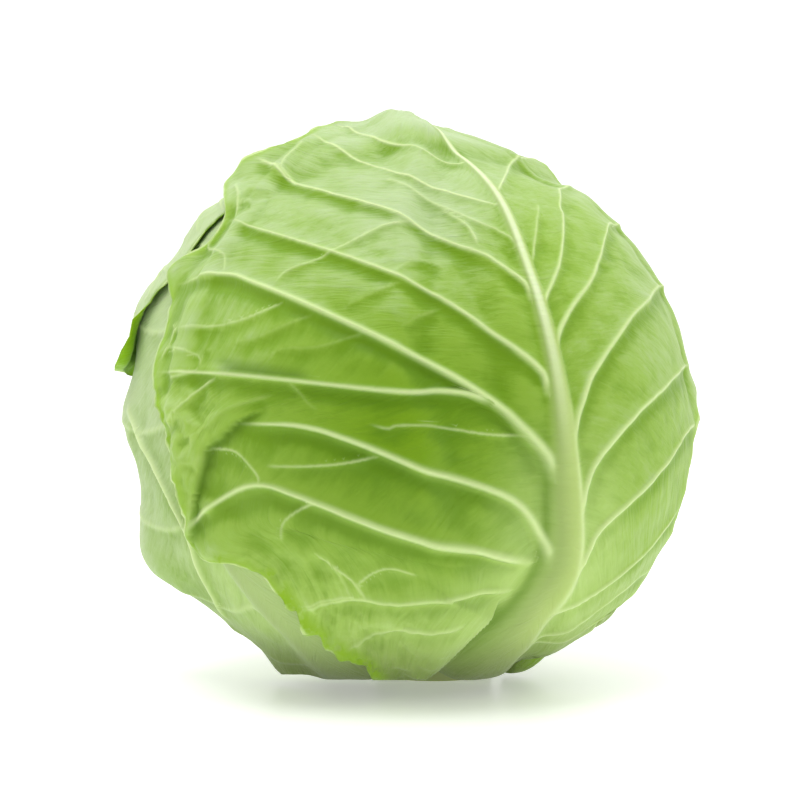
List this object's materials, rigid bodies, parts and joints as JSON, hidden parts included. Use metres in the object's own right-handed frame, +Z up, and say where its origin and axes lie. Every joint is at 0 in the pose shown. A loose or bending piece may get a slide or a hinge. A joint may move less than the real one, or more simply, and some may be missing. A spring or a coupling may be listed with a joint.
{
  "type": "green cabbage",
  "caption": "Whole green cabbage: a dense round head on its cut stem, wrapped in large smooth leaves with pale raised midribs, side veins and waved, lobed edges.",
  "frame": {"origin": "middle of the cut stem's flat end, which stands on the surface", "axes": "+Z up through the head; the outermost leaf, with its whole midrib, faces -Y"},
  "size_m": [0.1841, 0.1756, 0.1797],
  "materials": {
    "leaf": "waxy fresh green leaf with pale veins, satin",
    "heart": "pale green packed leaves, satin",
    "stem": "freshly cut pale fibrous stem, matt"
  },
  "bodies": {
    "root": {"cut_stem": "stem", "heart": "heart", "leaf_right": "leaf", "leaf_left": "leaf", "leaf_back": "leaf", "leaf_front": "leaf"}
  },
  "joints": []
}
